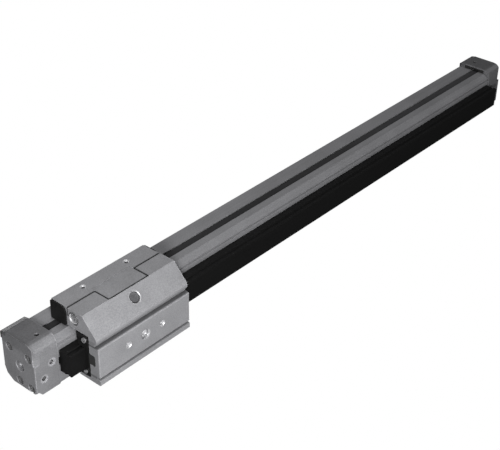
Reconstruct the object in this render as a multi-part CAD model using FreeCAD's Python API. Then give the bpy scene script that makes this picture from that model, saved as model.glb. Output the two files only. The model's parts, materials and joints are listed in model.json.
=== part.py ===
import FreeCAD, Part
import math
import os

os.makedirs("parts", exist_ok=True)

# Rodless pneumatic cylinder with a guided carriage.
# Sizes are in millimetres. While the pieces are built, X runs along the
# barrel from the near cap's outer face, Y starts at the caps' guide side and
# Z starts at the mounting plane. Each piece is then moved so that the origin
# lies under the middle of the whole cylinder.

# Driving dimensions.
stroke = 500.0
dead_length = 105.0
bore_radius = 9.0
bore_y = 17.3
bore_z = 23.0

cap_length = 22.5
cap_width = 35.4
cap_over_profile = 4.9
cap_plate_thickness = 3.0

profile_top = 41.0
profile_bottom = 0.2
profile_guide_side = 1.0
profile_over_cap_side = 0.6

slot_width = 5.0
band_groove_width = 8.0
band_groove_depth = 1.4

rail_thickness = 12.5
rail_bottom = 10.5
rail_top = 30.3
rail_end_gap = 2.0

carriage_length = 97.0
carriage_top = 58.0
carriage_bottom = 0.8
carriage_front = -25.5
carriage_rest_gap = 17.0
slope_top_y = -9.4
slope_foot_y = -21.6
slope_foot_z = 45.0

driver_right = 6.8
driver_left = 24.2
tongue_length = 40.4
tongue_bottom = 50.6
tongue_end_y = -8.4

ball_radius = 1.5
balls_per_row = 14
ball_track_y = -7.0

# Clearances between the pieces.
fit_gap = 0.04
slide_gap = 0.05
seat_gap = 0.1
joint_gap = 0.7
edge_break = 0.25

# Sizes of standard threads and screws.
m5_core = 2.1
m4_core = 1.65
screw_radius = 2.0
screw_head_radius = 3.5
screw_head_height = 4.0
screw_head_recess = 0.6
screw_hole_radius = screw_radius + 0.2
screw_grip = 14.0
yoke_screw_radius = 1.5
head_screw_radius = 2.5
block_screw_radius = 1.5
wiper_screw_radius = 1.0
stop_screw_radius = 3.0
stop_screw_length = 14.0

# Lengths that follow from the sizes above.
barrel_length = stroke + dead_length
overall_length = barrel_length + 2 * cap_length
barrel_start = cap_length
barrel_end = cap_length + barrel_length
barrel_mid = overall_length / 2
carriage_start = cap_length + carriage_rest_gap
carriage_end = carriage_start + carriage_length
carriage_mid = carriage_start + carriage_length / 2
cap_height = profile_top + cap_over_profile
profile_left_side = cap_width + profile_over_cap_side
lip_left = cap_width + 1.2
carriage_foot_front = carriage_front - 0.1
mid_y = (carriage_foot_front + lip_left) / 2

# Slot and bands.
groove_floor = profile_top - band_groove_depth
band_width = band_groove_width - 0.4
outer_band_thickness = 0.6
inner_band_width = 7.4
inner_band_thickness = 0.7
inner_seat_z = bore_z + bore_radius - 0.4
head_flat_z = inner_seat_z - inner_band_thickness - seat_gap

# End cap seals.
bore_seal_radius = 11.0
bore_seal_wire = 0.8
duct_seal_radius = 3.1
duct_seal_wire = 0.5

# Yoke, piston heads and cushioning.
web_length = 44.0
web_width = slot_width - 0.4
yoke_length = 64.0
yoke_radius = bore_radius - 0.4
head_length = 14.0
head_radius = bore_radius - 0.35
channel_floor = bore_z + 4.0
channel_roof = bore_z + 5.9
channel_width = 8.2
inner_band_drop = inner_seat_z - (bore_z + 5.5)
yoke_head_bottom = profile_top + 0.4
yoke_head_top = profile_top + 5.0
yoke_head_right = bore_y - 6.4
yoke_head_left = bore_y + 5.5
band_channel_right = bore_y - 4.4
band_channel_left = bore_y + 4.4
band_channel_roof = yoke_head_top + 2.6
outer_band_lift = yoke_head_top + 0.3 - groove_floor
cushion_tube_radius = 4.0
cushion_tube_bore = 2.6
cushion_tube_start = 9.5
cushion_tube_reach = 14.0
cushion_chamber_radius = 6.5
cushion_chamber_depth = 3.0
head_screw_grip = 12.5
magnet_length = 27.8
driver_end = 0.5
driver_plate = 1.5
driver_flat_lead = 4.0

# Rail, guide carriage and bearing.
rail_face = profile_guide_side
rail_outer = rail_face - rail_thickness
foot_top = rail_bottom - 6.2
block_top = rail_top + 11.7
block_bottom = foot_top
wall_inner = -15.3
block_inner_y = -4.0
block_end_gap = 5.0
block_screw_y = ball_track_y + 0.8
block_screw_seat = carriage_bottom + 2.3
block_screw_inset = 20.5
rail_gap = 0.9
track_radius = ball_radius + fit_gap
upper_groove_y = -21.0
lower_groove_y = -22.3
stop_screw_y = 0.2
stop_screw_z = 50.8
stop_counterbore_radius = 5.5
grease_port_y = -15.2
grease_port_radius = 5.3
grease_port_depth = 3.0
grease_thread_radius = 2.5
grease_passage_length = 16.0


def box(x0, x1, y0, y1, z0, z1):
    """A block between two corners."""
    corner = FreeCAD.Vector(min(x0, x1), min(y0, y1), min(z0, z1))
    return Part.makeBox(abs(x1 - x0), abs(y1 - y0), abs(z1 - z0), corner)


def rod(radius, start, end):
    """A round bar from one point to another."""
    base = FreeCAD.Vector(*start)
    axis = FreeCAD.Vector(*end) - base
    return Part.makeCylinder(radius, axis.Length, base, axis)


def extrude(points, direction):
    """A closed polygon swept straight along a vector."""
    corners = [FreeCAD.Vector(*point) for point in points]
    wire = Part.makePolygon(corners + [corners[0]])
    return Part.Face(wire).extrude(FreeCAD.Vector(*direction))


def prism_x(outline, x0, x1):
    """An outline of (y, z) points swept along X."""
    return extrude([(x0, y, z) for y, z in outline], (x1 - x0, 0, 0))


def prism_y(outline, y0, y1):
    """An outline of (x, z) points swept along Y."""
    return extrude([(x, y0, z) for x, z in outline], (0, y1 - y0, 0))


def prism_z(outline, z0, z1):
    """An outline of (x, y) points swept along Z."""
    return extrude([(x, y, z0) for x, y in outline], (0, 0, z1 - z0))


def turned(outline, x, y, z):
    """A ring turned about the X direction from (along, radius) points."""
    points = [FreeCAD.Vector(x + along, y, z + radius) for along, radius in outline]
    face = Part.Face(Part.makePolygon(points + [points[0]]))
    centre = FreeCAD.Vector(x, y, z)
    return face.revolve(centre, FreeCAD.Vector(1, 0, 0), 360)


def hexagon(flat, start, end):
    """A six-sided bar, flat across its faces, from one point to another."""
    base = FreeCAD.Vector(*start)
    axis = FreeCAD.Vector(*end) - base
    length = axis.Length
    corner = flat / math.sqrt(3)
    points = []
    for step in range(6):
        angle = math.radians(60 * step)
        points.append((corner * math.cos(angle), corner * math.sin(angle), 0))
    bar = extrude(points, (0, 0, length))
    turn = FreeCAD.Rotation(FreeCAD.Vector(0, 0, 1), axis)
    bar.Placement = FreeCAD.Placement(base, turn)
    return bar


def across(shape, middle):
    """The mirror image on the other side of a plane across the barrel."""
    return shape.mirror(FreeCAD.Vector(middle, 0, 0), FreeCAD.Vector(1, 0, 0))


def both_ends(shape):
    """A piece at each end of the barrel."""
    return Part.makeCompound([shape, across(shape, barrel_mid)])


def both_sides(shape):
    """A piece at each end of the carriage."""
    return Part.makeCompound([shape, across(shape, carriage_mid)])


def socket_screw(head_point, direction, radius, length, head_radius, head_height):
    """A socket-head screw: head_point is the underside of the head."""
    way = FreeCAD.Vector(*direction)
    way.normalize()
    seat = FreeCAD.Vector(*head_point)
    tip = seat + way * length
    top = seat - way * head_height
    key_end = top + way * (head_height * 0.6)
    screw = rod(radius, seat, tip).fuse(rod(head_radius, top, seat))
    socket = hexagon(head_radius * 0.95, top - way * 0.1, key_end)
    return screw.cut(socket).removeSplitter()


def grub_screw(start, direction, radius, length):
    """A headless screw with a hexagon socket in its outer end."""
    way = FreeCAD.Vector(*direction)
    way.normalize()
    outer = FreeCAD.Vector(*start)
    body = rod(radius, outer, outer + way * length)
    socket = hexagon(radius * 1.1, outer - way * 0.1, outer + way * (length * 0.4))
    return body.cut(socket)


# Places that several pieces share.
upper_left_screw = (bore_y + 10.0, profile_top - 6.4)
upper_right_screw = (bore_y - 10.7, profile_top - 7.6)
lower_screw_drop = 15.7
right_screw_reach = 11.7
lower_left_screw = (bore_y + 1.3, bore_z - lower_screw_drop)
lower_right_screw = (bore_y - right_screw_reach, bore_z - lower_screw_drop - 1.3)
cap_screw_spots = [upper_left_screw, upper_right_screw, lower_left_screw, lower_right_screw]
duct_spot = (bore_y - 4.7, bore_z - lower_screw_drop - 0.7)
duct_radius = 2.2
air_passage_radius = 1.5
port_depth = 8.0
side_port_spot = (16.3, bore_z + 1.5)
low_port_spot = (8.0, bore_z - 9.4)
end_port_y = bore_y - 0.4
end_port_z = bore_z - 1.3
spot_face_radius = 3.6
spot_face_depth = 0.5
end_spot_face_radius = 4.6
end_spot_face_depth = 0.8
needle_x = 13.3
near_needle_y = upper_right_screw[0] + 4.6
far_needle_y = upper_left_screw[0] - 3.7
needle_radius = 1.9
needle_stem_radius = 1.1
needle_shoulder_z = upper_left_screw[1] + screw_hole_radius + 0.6
needle_seat_z = bore_z + 6.0
needle_set_back = 3.0
buffer_right = 7.0
buffer_left = cap_width - 5.4
buffer_top = cap_height - 1.6
buffer_depth = 3.4
pocket_depth = 7.0
foot_hole_spots = [(11.5, bore_y - 8.0), (11.5, bore_y + 8.0)]
foot_hole_depth = 5.0
driver_thread_reach = 22.7
carriage_thread_reach = 18.0
carriage_hole_z = 22.0
centring_radius = 4.5
load_hole_bevel = 0.8
stop_counterbore_depth = 1.6
end_pocket_depth = 6.0
cap_screw_seat = screw_head_height + screw_head_recess
clamp_top = profile_top + 2.4
sensor_slot_rise = 4.0
sensor_slot_drop = 14.0
rail_foot_neck = (17.0, 24.0)
rail_foot_head = (14.5, 26.5)
rail_foot_depths = (2.2, 4.6)


def barrel_outline():
    """The extrusion's outer shape with the rail's shoulder and bevel."""
    right = profile_guide_side
    left = profile_left_side
    top = profile_top
    return [
        (right, profile_bottom + 0.2),
        (right + 0.2, profile_bottom),
        (left - 0.8, profile_bottom),
        (left, profile_bottom + 0.8),
        (left, top - 0.6),
        (left - 0.6, top),
        (right + 5.2, top),
        (right, top - 3.8),
        (right, top - 4.2),
        (right + 0.7, top - 4.6),
        (right + 0.7, top - 5.6),
        (right, top - 6.0),
        (right - 0.6, top - 6.4),
        (right - 0.6, top - 7.6),
        (right, top - 8.0),
    ]


def sensor_slot(z):
    """A T-slot for a position sensor in the left side."""
    side = profile_left_side
    mouth = box(barrel_start, barrel_end, side - 1.4, side, z - 1.7, z + 1.7)
    pocket = box(barrel_start, barrel_end, side - 4.2, side - 1.4, z - 2.7, z + 2.7)
    return mouth.fuse(pocket)


def hollow_chamber():
    """The closed chamber that lightens the extrusion beside the bore."""
    right = bore_y + bore_radius + 2.5
    left = profile_left_side - 2.4
    return box(barrel_start, barrel_end, right, left, bore_z - 9.5, bore_z - 1.0)


def rail_foot(grow, start, end):
    """The rail's T-shaped foot, grown by a clearance for its slot."""
    neck_low, neck_high = rail_foot_neck
    head_low, head_high = rail_foot_head
    neck_in, head_in = rail_foot_depths
    side = profile_guide_side
    outline = [
        (side - 0.5, neck_low - grow),
        (side + neck_in - grow, neck_low - grow),
        (side + neck_in - grow, head_low - grow),
        (side + head_in + grow, head_low - grow),
        (side + head_in + grow, head_high + grow),
        (side + neck_in - grow, head_high + grow),
        (side + neck_in - grow, neck_high + grow),
        (side - 0.5, neck_high + grow),
    ]
    return prism_x(outline, start, end)


def make_barrel():
    """The slotted barrel extrusion."""
    body = prism_x(barrel_outline(), barrel_start, barrel_end)
    half_groove = band_groove_width / 2
    half_slot = slot_width / 2
    cuts = [
        rod(bore_radius, (barrel_start, bore_y, bore_z), (barrel_end, bore_y, bore_z)),
        box(barrel_start, barrel_end, bore_y - half_slot, bore_y + half_slot, bore_z, profile_top),
        box(barrel_start, barrel_end, bore_y - half_groove, bore_y + half_groove,
            groove_floor, profile_top),
        box(barrel_start, barrel_end, bore_y - half_groove, bore_y + half_groove,
            bore_z, inner_seat_z),
        rail_foot(0.0, barrel_start, barrel_end),
        sensor_slot(bore_z + sensor_slot_rise),
        sensor_slot(bore_z - sensor_slot_drop),
        rod(duct_radius, (barrel_start, *duct_spot), (barrel_end, *duct_spot)),
        hollow_chamber(),
        box(barrel_start, barrel_end, bore_y - 4.0, bore_y + 4.0, profile_bottom, profile_bottom + 1.0),
    ]
    for y, z in cap_screw_spots:
        cuts.append(rod(screw_radius + fit_gap, (barrel_start, y, z), (barrel_end, y, z)))
    return body.cut(cuts).removeSplitter()


def cap_lip():
    """The overhanging lip along a cap's upper left edge."""
    left = lip_left
    top = cap_height
    return [
        (left, top - 7.6),
        (left, top - 2.0),
        (left - 1.0, top - 1.1),
        (left - 5.4, top),
    ]


def cap_shoulder():
    """The rounded upper edge on a cap's guide side, from the top downwards."""
    top = cap_height
    return [
        (8.6, top),
        (5.4, top - 0.5),
        (3.2, top - 1.7),
        (1.7, top - 3.5),
        (0.8, top - 6.0),
        (0.3, top - 9.0),
        (0.0, top - 12.0),
    ]


def cap_body():
    """The cast block of an end cap with its stepped front plate and lip."""
    width = cap_width
    top = cap_height
    start = cap_plate_thickness
    foot = [
        (0.3, 0.0),
        (width - 7.6, 0.0),
        (width, 7.6),
        (width, top - 7.6),
    ]
    plate_foot = [
        (2.4, 2.4),
        (width - 9.2, 2.4),
        (width - 2.4, 6.8),
        (width - 0.2, 12.6),
        (width - 0.2, top - 7.6),
    ]
    body = prism_x(foot + cap_lip() + cap_shoulder() + [(0.0, 0.3)], start, cap_length)
    front = prism_x(plate_foot + cap_lip() + cap_shoulder() + [(0.0, 4.0)], 0.0, start)
    foot_bevel = prism_y([(start, -1.0), (start, 2.6), (start + 3.6, -1.0)], -1.0, lip_left)
    relief_plan = [(-1.0, -1.0), (-1.0, 2.04), (5.0, 0.0), (5.0, -1.0)]
    corner_relief = prism_z(relief_plan, bore_z + 5.5, top + 1.0)
    return body.cut(foot_bevel).fuse(front).cut(corner_relief)


def cap_passages(needle_y):
    """Ports, air passages and screw holes inside an end cap."""
    face = cap_length
    tube = cushion_tube_start
    chamber_start = face - cushion_chamber_depth
    passages = [
        rod(m5_core, (-1.0, end_port_y, end_port_z), (tube, end_port_y, end_port_z)),
        rod(end_spot_face_radius, (-1.0, end_port_y, end_port_z),
            (end_spot_face_depth, end_port_y, end_port_z)),
        rod(cushion_tube_radius, (tube, bore_y, bore_z), (face, bore_y, bore_z)),
        rod(cushion_chamber_radius, (chamber_start, bore_y, bore_z), (face, bore_y, bore_z)),
    ]
    side_x, side_z = side_port_spot
    passages += guide_side_port(side_x, side_z)
    passages.append(rod(air_passage_radius, (side_x, port_depth - 1.0, side_z), (side_x, bore_y, side_z)))
    passages += duct_passages() + needle_passages(needle_y)
    for y, z in cap_screw_spots:
        passages.append(rod(screw_hole_radius, (-1.0, y, z), (face, y, z)))
        passages.append(rod(screw_head_radius + 0.2, (-1.0, y, z), (cap_screw_seat, y, z)))
    for x, y in foot_hole_spots:
        passages.append(rod(m4_core, (x, y, -1.0), (x, y, foot_hole_depth)))
    return passages


def guide_side_port(x, z):
    """A screwed port in a cap's guide side, in a shallow spot face."""
    return [
        rod(m5_core, (x, -1.0, z), (x, port_depth, z)),
        rod(spot_face_radius, (x, -1.0, z), (x, spot_face_depth, z)),
    ]


def duct_passages():
    """The low port and its way down and across to the barrel's air duct."""
    x, z = low_port_spot
    duct_y, duct_z = duct_spot
    return guide_side_port(x, z) + [
        rod(air_passage_radius, (x, port_depth - 1.0, z), (x, duct_y, z)),
        rod(air_passage_radius, (x, duct_y, duct_z), (x, duct_y, z + air_passage_radius)),
        rod(duct_radius, (x - 1.0, duct_y, duct_z), (cap_length, duct_y, duct_z)),
    ]


def needle_passages(needle_y):
    """The stepped needle hole and the drillings that it throttles."""
    side = math.copysign(1.0, needle_y - bore_y)
    drilling = 0.7
    seat = (needle_x, needle_y, needle_seat_z + 1.0)
    chamber = (cap_length - 2.5, bore_y + side * 4.3, bore_z + 4.6)
    outlet = (cushion_tube_start - 2.5, end_port_y + side * 1.5, end_port_z + 0.7)
    stem_end = (needle_x, needle_y, needle_seat_z - 1.6)
    shoulder = (needle_x, needle_y, needle_shoulder_z)
    return [
        rod(needle_radius + slide_gap, shoulder, (needle_x, needle_y, cap_height + 1.0)),
        rod(needle_stem_radius + slide_gap, stem_end, shoulder),
        rod(drilling, seat, chamber),
        rod(drilling, stem_end, outlet),
    ]


def cap_pockets():
    """The stop buffer's pocket, the band clamp's pocket and the band slits."""
    face = cap_length
    half = inner_band_width / 2 + seat_gap
    groove_half = band_groove_width / 2
    return [
        box(face - buffer_depth, face, buffer_right, buffer_left, profile_top, buffer_top),
        box(face - pocket_depth, face, bore_y - groove_half, bore_y + groove_half,
            groove_floor, clamp_top + 0.1),
        box(face - 2.5, face, bore_y - half, bore_y + half,
            inner_seat_z - inner_band_thickness - seat_gap, inner_seat_z + seat_gap),
        seal_groove(bore_seal_radius, bore_seal_wire, bore_y, bore_z),
        seal_groove(duct_seal_radius, duct_seal_wire, *duct_spot),
    ]


def seal_groove(middle, wire, y, z):
    """A ring groove in the cap's inner face for a seal of the given wire radius."""
    depth = 2 * wire + seat_gap
    half = wire + slide_gap
    outline = [
        (-depth, middle - half),
        (0.0, middle - half),
        (0.0, middle + half),
        (-depth, middle + half),
    ]
    return turned(outline, cap_length, y, z)


def cap_boss():
    """The short collar that centres a cap in the bore."""
    face = cap_length
    collar = rod(bore_radius - fit_gap, (face, bore_y, bore_z), (face + 4.0, bore_y, bore_z))
    hollow = rod(cushion_chamber_radius, (face - 1.0, bore_y, bore_z), (face + 5.0, bore_y, bore_z))
    band_side = box(face - 1.0, face + 5.0, 0.0, cap_width, head_flat_z, cap_height)
    return collar.cut([hollow, band_side])


def make_cap(needle_y):
    """An end cap at the near end of the barrel."""
    body = cap_body().cut(cap_passages(needle_y) + cap_pockets())
    return body.fuse(cap_boss()).removeSplitter()


def make_cushion_tube():
    """The tube that enters the piston's hollow end and damps the last stretch."""
    start = cushion_tube_start
    end = cap_length + cushion_tube_reach
    outer = rod(cushion_tube_radius, (start, bore_y, bore_z), (end - 1.0, bore_y, bore_z))
    nose = Part.makeCone(cushion_tube_radius, cushion_tube_radius - 0.8, 1.0,
                         FreeCAD.Vector(end - 1.0, bore_y, bore_z), FreeCAD.Vector(1, 0, 0))
    hollow = rod(cushion_tube_bore, (start - 1.0, bore_y, bore_z), (end + 1.0, bore_y, bore_z))
    side_x, side_z = side_port_spot
    air_hole = rod(air_passage_radius, (side_x, 0.0, side_z), (side_x, bore_y, side_z))
    return outer.fuse(nose).cut([hollow, air_hole])


def make_needle(needle_y):
    """A cushion adjusting screw with a slotted head, below the cap's top."""
    top = cap_height - needle_set_back
    shoulder = needle_shoulder_z + seat_gap
    head = rod(needle_radius, (needle_x, needle_y, shoulder), (needle_x, needle_y, top))
    stem = rod(needle_stem_radius, (needle_x, needle_y, needle_seat_z), (needle_x, needle_y, shoulder + 1.0))
    tip = Part.makeCone(0.4, needle_stem_radius, 1.5, FreeCAD.Vector(needle_x, needle_y, needle_seat_z - 1.5))
    slot = box(needle_x - 3.0, needle_x + 3.0, needle_y - 0.35, needle_y + 0.35, top - 1.0, top + 1.0)
    return head.fuse([stem, tip]).cut(slot).removeSplitter()


def make_cap_screws():
    """Four screws that hold each cap to the barrel."""
    screws = []
    length = cap_length - cap_screw_seat + screw_grip
    for y, z in cap_screw_spots:
        seat = (cap_screw_seat, y, z)
        screw = socket_screw(seat, (1, 0, 0), screw_radius, length, screw_head_radius, screw_head_height)
        screws += [screw, across(screw, barrel_mid)]
    return Part.makeCompound(screws)


def seal_ring(middle, wire, y, z):
    """A round-section ring that lies against the barrel's end."""
    centre = FreeCAD.Vector(cap_length - wire, y, z)
    return Part.makeTorus(middle, wire, centre, FreeCAD.Vector(1, 0, 0))


def make_cap_seals():
    """Rings in the face of each cap, round the bore and round the air duct."""
    bore_ring = seal_ring(bore_seal_radius, bore_seal_wire, bore_y, bore_z)
    duct_ring = seal_ring(duct_seal_radius, duct_seal_wire, *duct_spot)
    return both_ends(Part.makeCompound([bore_ring, duct_ring]))


def make_buffers():
    """A rubber stop pad above the barrel in each cap's inner face."""
    face = cap_length
    start = face - buffer_depth
    end = face + 0.3
    right = buffer_right + seat_gap
    left = buffer_left - seat_gap
    pad = box(start, end, right, left, profile_top + seat_gap, buffer_top - seat_gap)
    half = band_groove_width / 2 + 0.2
    band_window = box(start - 1.0, end + 1.0, bore_y - half, bore_y + half, profile_top, profile_top + 1.9)
    return both_ends(pad.cut(band_window))


def make_band_clamps():
    """A block in each cap that holds the outer band's end down."""
    face = cap_length
    low = groove_floor + outer_band_thickness
    start = face - pocket_depth + seat_gap
    end = face - buffer_depth - 0.3
    return both_ends(box(start, end, bore_y - 3.6, bore_y + 3.6, low, clamp_top))


def band(path, thickness, width):
    """A strip that follows (x, z) points of its lower side."""
    low = list(path)
    high = [(x, z + thickness) for x, z in reversed(path)]
    return prism_y(low + high, bore_y - width / 2, bore_y + width / 2)


def make_outer_band():
    """The cover strip, lifted over the yoke inside the driver."""
    end = pocket_depth - 0.5
    low = groove_floor
    lift_start = carriage_start + driver_end + driver_flat_lead
    lift_end = carriage_mid - web_length / 2
    high = low + outer_band_lift
    path = [
        (barrel_start - end, low),
        (lift_start, low),
        (lift_end, high),
        (2 * carriage_mid - lift_end, high),
        (2 * carriage_mid - lift_start, low),
        (barrel_end + end, low),
    ]
    return band(path, outer_band_thickness, band_width)


def make_inner_band():
    """The sealing strip, pressed down through the piston under the web."""
    end = 2.2
    high = inner_seat_z - inner_band_thickness
    low = high - inner_band_drop
    dip_start = carriage_mid - yoke_length / 2 + 0.5
    dip_end = carriage_mid - web_length / 2 - 1.0
    path = [
        (barrel_start - end, high),
        (dip_start, high),
        (dip_end, low),
        (2 * carriage_mid - dip_end, low),
        (2 * carriage_mid - dip_start, high),
        (barrel_end + end, high),
    ]
    return band(path, inner_band_thickness, inner_band_width)


def make_rail():
    """The guide rail with its foot in the barrel's side and two ball tracks."""
    low = rail_bottom
    high = rail_top
    start = barrel_start + rail_end_gap
    end = barrel_end - rail_end_gap
    outline = [
        (rail_face, low),
        (rail_face, high),
        (rail_outer + 0.6, high),
        (rail_outer, high - 0.6),
        (rail_outer, low + 0.6),
        (rail_outer + 0.6, low),
    ]
    body = prism_x(outline, start, end).fuse(rail_foot(-seat_gap, start, end))
    upper = rail_top + ball_radius * 0.3
    lower = rail_bottom - ball_radius * 0.3
    tracks = [
        rod(track_radius, (start - 1.0, ball_track_y, upper), (end + 1.0, ball_track_y, upper)),
        rod(track_radius, (start - 1.0, ball_track_y, lower), (end + 1.0, ball_track_y, lower)),
    ]
    return body.cut(tracks).removeSplitter()


def make_yoke():
    """The piston's middle with the web through the slot and the head above it."""
    start = carriage_mid - yoke_length / 2
    end = carriage_mid + yoke_length / 2
    web_start = carriage_mid - web_length / 2
    web_end = carriage_mid + web_length / 2
    half_channel = channel_width / 2
    body = rod(yoke_radius, (start, bore_y, bore_z), (end, bore_y, bore_z))
    low, high = bore_y - half_channel, bore_y + half_channel
    above = bore_z + bore_radius
    body = body.cut([
        box(start - 1, end + 1, low, high, channel_floor, channel_roof),
        box(start - 1, web_start, low, high, channel_floor, above),
        box(web_end, end + 1, low, high, channel_floor, above),
        box(start - 1, end + 1, 0.0, cap_width, head_flat_z, above),
        box(carriage_mid - magnet_length / 2 - seat_gap, carriage_mid + magnet_length / 2 + seat_gap,
            bore_y - 3.0, bore_y + 3.0, bore_z - bore_radius, bore_z - 4.4),
    ])
    web_low, web_high = bore_y - web_width / 2, bore_y + web_width / 2
    web = box(web_start, web_end, web_low, web_high, channel_roof, yoke_head_bottom)
    head = box(web_start, web_end, yoke_head_right, yoke_head_left, yoke_head_bottom, yoke_head_top)
    yoke = body.fuse([web, head])
    thread = head_screw_radius + fit_gap
    holes = [
        rod(thread, (start - 1, bore_y, bore_z), (start + head_screw_grip, bore_y, bore_z)),
        rod(thread, (end - head_screw_grip, bore_y, bore_z), (end + 1, bore_y, bore_z)),
    ]
    for x, z in yoke_screw_spots():
        holes.append(rod(yoke_screw_radius, (x, yoke_head_left - 4.0, z), (x, yoke_head_left + 1, z)))
    return yoke.cut(holes).removeSplitter()


def yoke_screw_spots():
    """Where the two set screws lock the yoke in the driver."""
    z = (yoke_head_bottom + yoke_head_top) / 2
    return [(carriage_mid - 12.0, z), (carriage_mid + 12.0, z)]


def piston_head_start():
    """The near end of the near piston head."""
    return carriage_mid - yoke_length / 2 - head_length


def make_piston_heads():
    """A piston head on each end of the yoke, grooved for its rings."""
    start = piston_head_start()
    end = start + head_length
    outline = [
        (0.0, 4.3),
        (0.0, head_radius - 0.8),
        (0.8, head_radius),
        (4.4, head_radius),
        (4.4, 7.0),
        (7.4, 7.0),
        (7.4, head_radius),
        (9.4, head_radius),
        (9.4, 7.4),
        (12.0, 7.4),
        (12.0, head_radius),
        (head_length, head_radius),
        (head_length, 2.6),
        (head_length - 2.5, 2.6),
        (head_length - 2.5, 4.3),
        (3.8, 4.3),
        (3.8, 5.5),
        (1.2, 5.5),
        (1.2, 4.3),
    ]
    head = turned(outline, start, bore_y, bore_z)
    band_side = box(start - 1, end + 1, 0.0, cap_width, head_flat_z, cap_height)
    return both_sides(head.cut(band_side))


def piston_ring(outline):
    """A ring pair on the piston heads, flat where the inner band passes."""
    start = piston_head_start()
    ring = turned(outline, start, bore_y, bore_z)
    band_side = box(start - 1, start + head_length, 0.0, cap_width, head_flat_z, cap_height)
    return both_sides(ring.cut(band_side))


def make_piston_seals():
    """Lip seals that open towards the pressure side."""
    outline = [(4.5, 7.05), (4.5, 7.7), (5.4, 7.6), (4.6, bore_radius - fit_gap), (5.2, bore_radius - fit_gap),
               (6.4, head_radius), (7.3, head_radius), (7.3, 7.05)]
    return piston_ring(outline)


def make_wear_rings():
    """Plain bearing rings that carry the piston in the bore."""
    outer = bore_radius - slide_gap
    return piston_ring([(9.5, 7.45), (9.5, outer), (11.9, outer), (11.9, 7.45)])


def make_cushion_seals():
    """Rings in the piston heads that close round the cushion tubes."""
    inner = cushion_tube_radius + slide_gap
    outline = [(1.3, 5.45), (3.7, 5.45), (3.7, inner), (2.9, inner), (1.3, inner + 0.7)]
    return both_sides(turned(outline, piston_head_start(), bore_y, bore_z))


def make_head_screws():
    """Low-head screws that hold the piston heads to the yoke."""
    floor_thickness = 2.5
    seat = piston_head_start() + head_length - floor_thickness
    length = floor_thickness + head_screw_grip - 1.5
    screw = socket_screw((seat, bore_y, bore_z), (1, 0, 0), head_screw_radius, length, 4.1, 3.0)
    return both_sides(screw)


def make_magnet():
    """The bar magnet under the piston that the position sensors read."""
    half = magnet_length / 2
    return box(carriage_mid - half, carriage_mid + half, bore_y - 2.9, bore_y + 2.9, bore_z - 7.6, bore_z - 4.45)


def make_driver():
    """The driver over the slot with its tongue in the guide carriage."""
    start = carriage_start + driver_end
    end = carriage_end - driver_end
    outline = [
        (driver_right, yoke_head_bottom),
        (driver_right, carriage_top - edge_break),
        (driver_right + edge_break, carriage_top),
        (driver_left - edge_break, carriage_top),
        (driver_left, carriage_top - edge_break),
        (driver_left, yoke_head_bottom),
    ]
    body = prism_x(outline, start, end)
    web_start = carriage_mid - web_length / 2 - slide_gap
    web_end = carriage_mid + web_length / 2 + slide_gap
    cuts = [
        box(start - 1, end + 1, band_channel_right, band_channel_left, yoke_head_bottom - 1, band_channel_roof),
        box(web_start, web_end, yoke_head_right - slide_gap, yoke_head_left + slide_gap,
            yoke_head_bottom - 1, yoke_head_top + slide_gap),
        tongue_step(),
    ]
    for side in (-1, 1):
        x = carriage_mid + side * driver_thread_reach
        cuts.append(rod(m4_core, (x, bore_y, carriage_top - 7.0), (x, bore_y, carriage_top + 1)))
        cuts.append(Part.makeCone(m4_core, m4_core + 0.9, 0.6, FreeCAD.Vector(x, bore_y, carriage_top - 0.6)))
    for x, z in yoke_screw_spots():
        cuts.append(rod(yoke_screw_radius, (x, yoke_head_left, z), (x, driver_left + 1, z)))
    return body.fuse(make_tongue()).cut(cuts).removeSplitter()


def make_tongue():
    """The block that reaches from the driver across into the carriage."""
    start = carriage_mid - tongue_length / 2
    end = carriage_mid + tongue_length / 2
    front = [
        (start, tongue_bottom),
        (start, carriage_top - edge_break),
        (start + edge_break, carriage_top),
        (end - edge_break, carriage_top),
        (end, carriage_top - edge_break),
        (end, tongue_bottom),
    ]
    side = [
        (tongue_end_y, tongue_bottom),
        (tongue_end_y, carriage_top - edge_break),
        (tongue_end_y + edge_break, carriage_top),
        (driver_right + 1.0, carriage_top),
        (driver_right + 1.0, tongue_bottom),
    ]
    return prism_y(front, tongue_end_y, driver_right + 1.0).common(prism_x(side, start, end))


def tongue_step():
    """The shallow step along the driver's top where the tongue begins."""
    step_y = driver_right + 3.6
    half = tongue_length / 2
    return box(carriage_mid - half, carriage_mid + half, tongue_end_y - 1, step_y,
               carriage_top - 0.25, carriage_top + 1)


def make_yoke_screws():
    """Set screws from the driver's left side into the yoke head."""
    screws = []
    for x, z in yoke_screw_spots():
        screws.append(grub_screw((x, driver_left - 0.3, z), (0, -1, 0), yoke_screw_radius - fit_gap, 4.6))
    return Part.makeCompound(screws)


def make_driver_plates():
    """The black end plates of the driver, with the band passing under them."""
    front = carriage_start + driver_end
    low = profile_top + 0.25
    right = driver_right + 1.1
    left = driver_left - 0.1
    top = carriage_top - 0.6
    outline = [
        (right, low + 1.6),
        (right + 0.5, low + 0.5),
        (right + 1.6, low),
        (left, low),
        (left, top - 0.6),
        (left - 0.6, top),
        (right + 4.6, top),
        (right + 2.8, top - 0.4),
        (right + 1.3, top - 1.4),
        (right + 0.4, top - 2.9),
        (right, top - 4.8),
    ]
    plate = prism_x(outline, front - driver_plate, front)
    lip = box(front, front + 3.2, band_channel_right + 0.2, band_channel_left - 0.2, low, low + 2.6)
    return both_sides(plate.fuse(lip).removeSplitter())


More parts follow.
